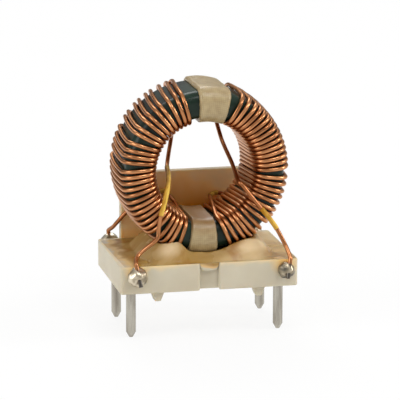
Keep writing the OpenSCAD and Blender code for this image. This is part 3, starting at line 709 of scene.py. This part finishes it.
class OBJECT_OT_inductor_tapes(Operator):
    """Wraps the two cloth tapes round the core"""
    bl_idname = "object.inductor_tapes"
    bl_label = "Tapes"

    def execute(self, context):
        finish = glass_cloth()
        ruffle = form().tape_ruffle / MM
        low, high = CORE_ID / 2 - TAPE_GAP - TAPE_T, CORE_OD / 2 + TAPE_GAP + TAPE_T
        columns = 24
        # Angle from the top, width on the rim, width in the bore, and seed
        tapes = {"top": (6.3, 3.4, 2.56, 1.0), "bottom": (182.6, 3.1, 2.36, 7.0)}
        for name, (angle, rim_w, bore_w, seed) in tapes.items():
            angle = radians(angle)
            outward = Vector((sin(angle), 0, cos(angle)))
            sideways = Vector((cos(angle), 0, -sin(angle)))
            outer, inner = band_section(TAPE_T), band_section(0)
            rows = len(outer)
            points, lays = [], []
            for skin in (outer, inner):
                run = 0.0
                for i, p in enumerate(skin):
                    run += (p - skin[i - 1]).length if i else 0
                    share = clamp((p.x - low) / (high - low))
                    half = (bore_w + (rim_w - bore_w) * share) / 2
                    away = (outer[i] - inner[i]).normalized()
                    for j in range(columns + 1):
                        s = 2 * j / columns - 1
                        fray = noise.noise(Vector((run * 1.6, 5 * round(s), seed)))
                        across = s * half + fray * ruffle * 1.5 * abs(s) ** 4
                        q = p.copy()
                        if skin is outer:
                            rounded = TAPE_T * 0.5 * max(0, (abs(s) - 1 + TAPE_EDGE) / TAPE_EDGE) ** 2
                            wave = noise.noise(Vector((run * 0.7, s * 1.2, seed))) * ruffle
                            q += away * (min(0.0, wave - ruffle * 0.5) - rounded)
                        points.append(RING + sideways * across + outward * sqrt(q.x ** 2 - across ** 2)
                                      + Vector((0, q.y, 0)))
                        # The third value marks how far into the bore a point of the lower tape lies, for its
                        # stain and painted shade
                        lays.append((across, run, 1 - share if name == "bottom" else 0))
            width, size = columns + 1, rows * (columns + 1)
            faces = []
            for i in range(rows):
                here, there = i * width, (i + 1) % rows * width
                for a, b in zip(range(here, here + columns), range(there, there + columns)):
                    faces.append((a, a + 1, b + 1, b))
                    faces.append((size + a, size + b, size + b + 1, size + a + 1))
                faces.append((here, there, size + there, size + here))
                here, there = here + columns, there + columns
                faces.append((here, size + here, size + there, there))
            piece = new_piece("cloth_tape_" + name, points, faces, finish, ["tape_" + name])
            piece.data.set_sharp_from_angle(angle=radians(50))
            point_values(piece, "lay", "FLOAT_VECTOR", lays)
        return {"FINISHED"}


# ---- Header ----

PLATE_CORNER_R, NOTCH_R = 0.3, 0.2
# Depths that the wall and the standoffs are sunk into the plate
WALL_ROOT, STANDOFF_ROOT = 0.5, 0.2
# Edges longer than this are halved, up to three times, so that the points can hold the stain and the painted
# shade
LONG_EDGE = 1.2
# Middle and reach of the stain and painted shade in the middle of the wall, and place and squared reach of
# the stains at the front joints
WALL_STAIN_AND_SHADE = (0.5, 6.3), (4, 2.6)
JOINT_STAINS = (-7.6, 3.4, 1.1), (7.7, 3.5, 1.3)


def corner_arc(x, y, radius, start, end, points=6):
    """Points on an arc round a corner's centre, with angles in degrees."""
    angles = [radians(start + (end - start) * s / (points - 1)) for s in range(points)]
    return [(x + radius * cos(a), y + radius * sin(a)) for a in angles]


def prism(outline, low, high, axis):
    """Points and faces of an outline extruded along an axis, with its caps."""
    place = {"z": lambda p, h: (p[0], p[1], h), "y": lambda p, h: (p[0], h, p[1])}[axis]
    count = len(outline)
    points = [place(p, low) for p in outline] + [place(p, high) for p in outline]
    faces = [tuple(range(count)), tuple(range(2 * count - 1, count - 1, -1))]
    faces += [(i, count + i, count + (i + 1) % count, (i + 1) % count) for i in range(count)]
    return points, faces


def header_solids():
    """Points and faces of the header's plate, wall and four standoffs."""
    half_l, half_w, half_n = BASE_L / 2, WALL_L / 2, NOTCH_L / 2
    r, n, wr = PLATE_CORNER_R, NOTCH_R, WALL_CORNER_R
    plate = (corner_arc(-half_l + r, -FACE_Y + r, r, 180, 270)
             + corner_arc(-half_n - n, -FACE_Y + n, n, -90, 0, 4)
             + [(-half_n, NOTCH_D - FACE_Y), (half_n, NOTCH_D - FACE_Y)]
             + corner_arc(half_n + n, -FACE_Y + n, n, 180, 270, 4)
             + corner_arc(half_l - r, -FACE_Y + r, r, -90, 0)
             + corner_arc(half_l - r, FACE_Y - r, r, 0, 90)
             + corner_arc(-half_l + r, FACE_Y - r, r, 90, 180))
    wall_root, wall_top = PLATE_TOP - WALL_ROOT, PLATE_TOP + WALL_H
    wall = ([(-half_w, wall_root), (half_w, wall_root)]
            + corner_arc(half_w - wr, wall_top - wr, wr, 0, 90)
            + corner_arc(-half_w + wr, wall_top - wr, wr, 90, 180))
    solids = [prism(plate, PLATE_Z, PLATE_TOP, "z"), prism(wall, WALL_FRONT_Y, FACE_Y - 0.01, "y")]
    top, foot, root = STANDOFF_L / 2, STANDOFF_FOOT_L / 2, PLATE_Z + STANDOFF_ROOT
    profile = ((-top, root), (-top, PLATE_Z), (-foot, 0), (foot, 0), (top, PLATE_Z), (top, root))
    for x in (-1, 1):
        for y in (-1, 1):
            middle = y * (FACE_Y - STANDOFF_SETBACK - STANDOFF_W / 2)
            outline = [(x * STANDOFF_PITCH_X / 2 + dx, z) for dx, z in profile]
            solids.append(prism(outline, middle - STANDOFF_W / 2, middle + STANDOFF_W / 2, "y"))
    return solids


def stain_and_shade(x, y, z):
    """How brown the header is: stained and given painted shade on the wall and at its foot, and stained on
    the tops, down the front and by its joints.
    """
    front_of_wall = y < WALL_FRONT_Y + 0.05
    # The wall is stained, and darker towards its middle behind the ring with painted shade
    wall = 0.5 + 0.75 * spot(x, z, *WALL_STAIN_AND_SHADE) if front_of_wall and z > PLATE_TOP + 0.01 else 0.0
    # Its foot is stained and given painted shade, darkest at the bottom
    foot = 0.9 * exp(-max(0, z - PLATE_TOP) / 2) if front_of_wall and y > WALL_FRONT_Y - 0.1 else 0.0
    top = 0.25 if abs(z - PLATE_TOP) < 0.03 or z > PLATE_TOP + WALL_H - 0.15 else 0.0
    front = 0.45 * exp(-max(0, PLATE_TOP - z) / 0.25) if y < -FACE_Y + 0.1 else 0.0
    joint = max(exp(-((x - x0) ** 2 + (z - z0) ** 2 + (y + FACE_Y) ** 2) / reach)
                for x0, z0, reach in JOINT_STAINS)
    return max(wall, foot, top, front, 0.9 * joint)


class OBJECT_OT_inductor_header(Operator):
    """Moulds the four-pin header with its rear wall and standoffs"""
    bl_idname = "object.inductor_header"
    bl_label = "Header"

    def execute(self, context):
        points, faces = [], []
        for more_points, more_faces in header_solids():
            faces += [tuple(len(points) + i for i in face) for face in more_faces]
            points += more_points
        piece = new_piece("header_moulding", points, faces, moulded_header(), ["base"])
        shape = bmesh.new()
        shape.from_mesh(piece.data)
        bmesh.ops.recalc_face_normals(shape, faces=shape.faces)
        sharp = [e for e in shape.edges if e.is_manifold and e.calc_face_angle() > radians(35)]
        bmesh.ops.bevel(shape, geom=sharp, offset=form().header_edge, segments=3, profile=0.5,
                        affect="EDGES", clamp_overlap=True)
        bmesh.ops.triangulate(shape, faces=[f for f in shape.faces if len(f.verts) > 4])
        for _ in range(3):
            long_edges = [e for e in shape.edges if e.calc_length() > LONG_EDGE * MM]
            bmesh.ops.subdivide_edges(shape, edges=long_edges, cuts=1)
            bmesh.ops.triangulate(shape, faces=[f for f in shape.faces if len(f.verts) > 4])
        # Cutting up the faces leaves them and their points in another order each run, so both are sorted
        ordered = sorted(shape.verts, key=lambda v: tuple(v.co))
        for i, vertex in enumerate(ordered):
            vertex.index = i
        faces = sorted(tuple(v.index for v in f.verts) for f in shape.faces)
        points = [v.co.copy() for v in ordered]
        shape.free()
        piece.data.clear_geometry()
        piece.data.from_pydata(points, [], faces)
        piece.data.shade_smooth()
        piece.data.set_sharp_from_angle(angle=radians(40))
        piece.data.update()
        point_values(piece, "soak_and_shade", "FLOAT", [stain_and_shade(*(v.co / MM)) for v in piece.data.vertices])
        return {"FINISHED"}


# ---- Epoxy ----

MOUND_X, MOUND_Y, MOUND_L, MOUND_W = 0.2, -0.2, 14.2, 12.0
SAG_X, SAG_DEPTH = 0.35, 0.78
# Reach and steepness of the sag's sides
SAG_LEFT, SAG_RIGHT = (2.7, 5), (2.9, 2)
# The mound is this much shorter on its left
MOUND_LEFT_CUT = 0.35
# Where and how widely the clear fillet changes into the milky mound
CHANGE_X, CHANGE_L = 1.6, 0.7
# Middles and reaches of the film round the right terminal and of the pale patch at the front, which is a
# painted highlight
TERMINAL_FILM, PAINTED_HIGHLIGHT = ((8.2, -3.4), (1.7, 3.6)), ((-3.9, -4.4), (1.1, 0.7))
# Gaps between the film's rim and the plate's front, right and left edges, and how much the left one
# narrows towards the back
FRONT_GAP, RIGHT_GAP, LEFT_GAP, NARROWING = 0.12, 0.15, 0.45, 0.3
# Width over which the film rises from its rim, and its thickness there
MENISCUS, RIM_T = 0.3, 0.006


def right_share(x):
    """Share of the milky, full mound on the right against the clear fillet on the left."""
    return 1 / (1 + exp(-(x - CHANGE_X) / CHANGE_L))


def epoxy_height(x, y):
    """Height of the epoxy above the plate, as a film with a mound round the ring's foot."""
    half, power = (MOUND_L / 2, 4) if x > MOUND_X else (MOUND_L / 2 - MOUND_LEFT_CUT, 3)
    along = (abs(x - MOUND_X) / half) ** power
    full = max(0, 1 - along - (abs(y - MOUND_Y) / (MOUND_W / 2)) ** 4)
    before = clamp((-WOUND_Y - y) / (FACE_Y - WOUND_Y))
    fillet = max(0, 1 - along - 0.2) * (1 - before) ** 1.5 if before > 0 else full
    mound = fillet + (full - fillet) * right_share(x)
    sag_l, steep = SAG_LEFT if x < SAG_X else SAG_RIGHT
    sag = 1 - SAG_DEPTH * exp(-(abs(x - SAG_X) / sag_l) ** steep)
    ripple = form().ripple / MM * (mound + 0.4) * noise.noise(Vector((x * 0.8, y * 0.8, 4)))
    return form().film_t / MM + form().mound_h / MM * mound * sag + 2 * ripple


def near_ring(x, y, z):
    """Share of the amber halo where the epoxy meets the wound ring."""
    dy = min(abs(y - RING.y), WOUND_Y - 0.01)
    past = max(0, abs(y - RING.y) - WOUND_Y)
    gap = ring_height(x, RING.y + dy) - z
    return exp(-gap * gap / 0.3 - past * past / 2.6)


def ring_height(x, y):
    """Height above the plate of the wound ring's underside."""
    dy = abs(y - RING.y)
    past_flat = max(0, dy - (WOUND_Y - BEND_R))
    outer = WOUND_R - BEND_R + sqrt(max(0, BEND_R * BEND_R - past_flat * past_flat))
    dx = min(abs(x - RING.x), outer)
    return RING.z if dy > WOUND_Y else RING.z - sqrt(outer * outer - dx * dx) - PLATE_TOP


def film():
    """Points, faces, and milky and poured values of the film and the mound on it."""
    columns, rows = 170, 120
    front, back = FRONT_GAP - FACE_Y, WALL_FRONT_Y
    points, milky_and_highlight, poured = [], [], []
    right = BASE_L / 2 - RIGHT_GAP
    for j in range(rows + 1):
        y = front + (back - front) * j / rows
        left = LEFT_GAP - BASE_L / 2 - NARROWING * j / rows
        for i in range(columns + 1):
            x = left + (right - left) * i / columns
            rim = min(x - left, right - x, y - front)
            meniscus = 1 - exp(-(max(0, rim) / MENISCUS) ** 2)
            # It thins towards its left edge, and past the mound on its right except by the terminal
            cover = min(1, (x - left) / 2.2)
            terminal = spot(x, y, *TERMINAL_FILM, 4)
            cover = min(cover, max(min(1, max(0.62, (7.3 - x) / 0.9)), terminal))
            thin = min(1, max(0.15, cover))
            height = min(epoxy_height(x, y), ring_height(x, y)) * meniscus * thin + RIM_T
            points.append((x, y, PLATE_TOP + height))
            # It is milky on the right, but amber by the ring and clearer by the terminal
            # A pale patch at the front paints the highlight on the glossy epoxy
            painted_highlight = spot(x, y, *PAINTED_HIGHLIGHT)
            outside = clamp((x - 6.4) / 0.6) * clamp((y + 3.0) / 1.5)
            cured = (0.55 + 0.45 * outside) * right_share(x) * (1 - terminal)
            cloudy = max(cured, min(1, height / 1.2) * (0.15 + 0.85 * right_share(x)))
            halo = near_ring(x, y, height) * right_share(x)
            milky_and_highlight.append(max(painted_highlight, cloudy - 1.2 * halo, 0.3 * terminal))
            poured.append(cover + (0.34 - cover) * terminal)
    width = columns + 1
    faces = [(j * width + i, j * width + i + 1, (j + 1) * width + i + 1, (j + 1) * width + i)
             for j in range(rows) for i in range(columns)]
    edge = ([*range(columns)] + [j * width + columns for j in range(rows)]
            + [rows * width + i for i in range(columns, 0, -1)] + [j * width for j in range(rows, 0, -1)])
    start = len(points)
    points += [(points[k][0], points[k][1], PLATE_TOP) for k in edge]
    milky_and_highlight += [milky_and_highlight[k] for k in edge]
    poured += [poured[k] for k in edge]
    count = len(edge)
    faces += [(edge[k], start + k, start + (k + 1) % count, edge[(k + 1) % count]) for k in range(count)]
    faces.append(tuple(start + k for k in range(count - 1, -1, -1)))
    return points, faces, milky_and_highlight, poured


def tongue(start):
    """The same of the tongue that has run down into the notch, hanging lowest at its middle."""
    across, round_front = 24, 10
    half_l, back_y, front_y = NOTCH_L / 2 - 0.02, NOTCH_D - FACE_Y - 0.02, 0.15 - FACE_Y
    points, milky_and_highlight, poured = [], [], []
    for i in range(across + 1):
        x = half_l * (2 * i / across - 1)
        drop = 0.12 + 0.8 * sqrt(max(0, 1 - abs(x / (half_l + 0.01)) ** 4))
        for j in range(round_front + 1):
            a = pi / 2 * j / round_front
            points.append((x, back_y + (front_y - back_y) * cos(a) ** 0.4, PLATE_TOP - drop * sin(a)))
        points.append((x, back_y, PLATE_TOP - drop))
        points.append((x, back_y, PLATE_TOP))
        clear = clamp(0.75 + 0.6 * x)
        for j in range(round_front + 3):
            down = sin(pi / 2 * min(1, j / round_front))
            milky_and_highlight.append(0.6 - 0.6 * clear + 0.3 * down)
            poured.append((0.4 + 0.5 * clear) * (1 - 1.6 * down))
    faces = ring_faces(across, round_front + 3, start) + end_faces(across, round_front + 3, start)
    return points, faces, milky_and_highlight, poured


class OBJECT_OT_inductor_epoxy(Operator):
    """Pours the epoxy that holds the ring's foot"""
    bl_idname = "object.inductor_epoxy"
    bl_label = "Epoxy"

    def execute(self, context):
        poured_film = film()
        run_down = tongue(len(poured_film[0]))
        points, faces, milky_and_highlight, poured = [a + b for a, b in zip(poured_film, run_down)]
        piece = new_piece("poured_epoxy", points, faces, poured_epoxy(), ["adhesive"])
        piece.data.set_sharp_from_angle(angle=radians(60))
        point_values(piece, "milky_and_highlight", "FLOAT", milky_and_highlight)
        point_values(piece, "poured", "FLOAT", poured)
        return {"FINISHED"}


# ---- Solder ----

class OBJECT_OT_inductor_joints(Operator):
    """Solders the leads to the pins"""
    bl_idname = "object.inductor_joints"
    bl_label = "Solder joints"

    def execute(self, context):
        finish = frozen_solder()
        lumps = form().blob_lumps
        # Side, end, radius, middle and the lead's run
        joints = {"front_left": (LEFT, FRONT, 1.0, (-0.12, 0.42, 0.05), FRONT_LEFT_RUN),
                  "front_right": (RIGHT, FRONT, 0.85, (0.15, 0.45, -0.08), FRONT_RIGHT_RUN),
                  "back_left": (LEFT, BACK, 1.0, (0.1, 0.55, 0.3), BACK_RUN),
                  "back_right": (RIGHT, BACK, 1.0, (0.1, 0.55, 0.3), BACK_RUN)}
        for seed, (name, (side, end, radius, offset, run)) in enumerate(joints.items()):
            centre = by_leg(side, end, *offset)
            top, tail = by_leg(side, end, *run[0]), by_leg(side, end, *run[1])
            shape = bmesh.new()
            bmesh.ops.create_icosphere(shape, subdivisions=5, radius=1)
            for vertex in shape.verts:
                n = vertex.co.normalized()
                swell = noise.fractal(n * 1.1 + Vector((seed * 7 + 3, 2, 1)), 1.0, 2.0, 2)
                p = centre + n * radius * (1 + lumps * swell)
                along = clamp((p - top).dot(tail - top) / (tail - top).length_squared)
                near = (p - top.lerp(tail, along)).length
                # The solder climbs the wire above the joint and sinks beside its cut end
                p += n * (0.14 - 0.34 * min(1, 1.6 * along)) * exp(-(near / 0.32) ** 2)
                p.y = end * max(end * p.y, FACE_Y + 0.01)
                vertex.co = p
            points = [v.co.copy() for v in shape.verts]
            faces = [tuple(v.index for v in f.verts) for f in shape.faces]
            shape.free()
            piece = new_piece("solder_joint_" + name, points, faces, finish, ["solder_" + name])
            frost = 0.15 if name == "front_right" else 0.0
            point_values(piece, "frost", "FLOAT", [frost] * len(points))
        return {"FINISHED"}


# ---- Stage ----

# Half the floor's side in metres, and how far the white seen on it hides its shading
FLOOR_HALF, FLOOR_WASH = 4.0, 0.86
# Place and size in metres, and power in watts
LIGHTS = {"key_light": ((0.1, -0.28, 0.42), 0.14, 0.53), "left_light": ((-0.45, -0.13, 0.2), 0.28, 0.82),
          "right_light": ((0.44, -0.12, 0.2), 0.15, 0.85), "back_light": ((0.0, 0.4, 0.4), 0.3, 0.9)}
LIGHT_AIM = Vector((0, 0, 9 * MM))
# Azimuth, elevation and roll in degrees
CAMERA_ANGLES = (12.904, 13.462, 0.184)
CAMERA_TARGET, CAMERA_DISTANCE = Vector((0.345, 0, 8.861)) * MM, 290 * MM
# Focal length and width of the picture, in pixels
FOCAL_PX, PICTURE_PX = 2853.3, 400


class SCENE_OT_inductor_stage(Operator):
    """Sets the floor, the lights, the world and the camera"""
    bl_idname = "scene.inductor_stage"
    bl_label = "Stage"

    def execute(self, context):
        scene = context.scene
        scene.view_settings.view_transform = "Standard"
        mesh = bpy.data.meshes.new("floor")
        corners = [(x * FLOOR_HALF, y * FLOOR_HALF, -PIN_DROP * MM)
                   for x, y in ((-1, -1), (1, -1), (1, 1), (-1, 1))]
        mesh.from_pydata(corners, [], [(0, 1, 2, 3)])
        finish, add, surface = new_finish("matt_white_card")
        connect(surface, {"Base Color": colours().floor, "Roughness": 0.9})
        path = add("LightPath").outputs
        seen = add("Math", {0: path["Is Camera Ray"], 1: path["Is Glossy Ray"]}, operation="MAXIMUM")
        shown = add("Math", {0: seen, 1: path["Is Transmission Ray"]}, operation="MAXIMUM")
        share = add("Math", {0: shown, 1: FLOOR_WASH}, operation="MULTIPLY")
        white = add("Emission", {"Color": WHITE, "Strength": 1.0})
        mixed = add("MixShader", {0: share, 1: surface, 2: white})
        connect(finish.node_tree.nodes["Material Output"], {"Surface": mixed})
        mesh.materials.append(finish)
        floor = bpy.data.objects.new("floor", mesh)
        scene.collection.objects.link(floor)

        world = bpy.data.worlds.new("studio")
        world.use_nodes = True
        scene.world = world
        world.node_tree.nodes.clear()
        add = partial(node, world.node_tree)
        # The metals see a bright ceiling over a dim room, and a darker wall behind the part
        way = add("TexCoord").outputs["Generated"]
        height = add("SeparateXYZ", {"Vector": way}).outputs
        room = add("MapRange", {"Value": height["Z"], "From Max": 0.8, "To Min": 0.34, "To Max": 0.68})
        wall = add("MapRange", {"Value": height["Y"], "From Min": 0.3, "From Max": 0.8, "To Min": 1.0,
                                "To Max": 0.55})
        level = add("Math", {0: room, 1: wall}, operation="MULTIPLY")
        air = add("Background", {"Color": WHITE, "Strength": level})
        add("OutputWorld", {"Surface": air})

        for name, (place, size, watts) in LIGHTS.items():
            lamp = bpy.data.lights.new(name, "AREA")
            lamp.shape = "SQUARE"
            lamp.size = size
            lamp.energy = watts
            light = bpy.data.objects.new(name, lamp)
            light.location = place
            light.rotation_euler = (LIGHT_AIM - Vector(place)).to_track_quat("-Z", "Y").to_euler()
            scene.collection.objects.link(light)

        azimuth, elevation, roll = [radians(a) for a in CAMERA_ANGLES]
        forward = Vector((sin(azimuth) * cos(elevation), cos(azimuth) * cos(elevation), -sin(elevation)))
        right = Vector((cos(azimuth), -sin(azimuth), 0))
        up = right.cross(forward)
        right, up = (cos(roll) * right + sin(roll) * up, cos(roll) * up - sin(roll) * right)
        view = bpy.data.cameras.new("camera")
        view.sensor_width = 36
        view.lens = FOCAL_PX * view.sensor_width / PICTURE_PX
        view.clip_start, view.clip_end = 0.01, 20
        camera = bpy.data.objects.new("camera", view)
        turned = Matrix((right, up, -forward)).transposed().to_4x4()
        camera.matrix_world = Matrix.Translation(CAMERA_TARGET - forward * CAMERA_DISTANCE) @ turned
        scene.collection.objects.link(camera)
        scene.camera = camera
        return {"FINISHED"}


OPERATORS = (SCENE_OT_inductor_stage, OBJECT_OT_inductor_header, OBJECT_OT_inductor_core,
             OBJECT_OT_inductor_tapes, OBJECT_OT_inductor_windings, OBJECT_OT_inductor_sleeves,
             OBJECT_OT_inductor_pins, OBJECT_OT_inductor_joints, OBJECT_OT_inductor_epoxy)


class VIEW3D_PT_inductor(Panel):
    """Lists the inductor's sizes, colours and pieces"""
    bl_idname = "VIEW3D_PT_inductor"
    bl_label = "Toroidal Inductor"
    bl_space_type = "VIEW_3D"
    bl_region_type = "UI"
    bl_category = "Inductor"

    def draw(self, context):
        for group in (context.scene.inductor_form, context.scene.inductor_colours):
            box = self.layout.box()
            for name in group.bl_rna.properties.keys():
                if name not in ("rna_type", "name"):
                    box.prop(group, name)
        for operator in OPERATORS:
            self.layout.operator(operator.bl_idname)


CLASSES = (InductorForm, InductorColours, *OPERATORS, VIEW3D_PT_inductor)


def register():
    for cls in CLASSES:
        bpy.utils.register_class(cls)
    bpy.types.Scene.inductor_form = PointerProperty(type=InductorForm)
    bpy.types.Scene.inductor_colours = PointerProperty(type=InductorColours)


def unregister():
    del bpy.types.Scene.inductor_colours
    del bpy.types.Scene.inductor_form
    for cls in reversed(CLASSES):
        bpy.utils.unregister_class(cls)


def main():
    register()
    for operator in OPERATORS:
        group, name = operator.bl_idname.split(".")
        getattr(getattr(bpy.ops, group), name)()


if __name__ == "__main__":
    main()
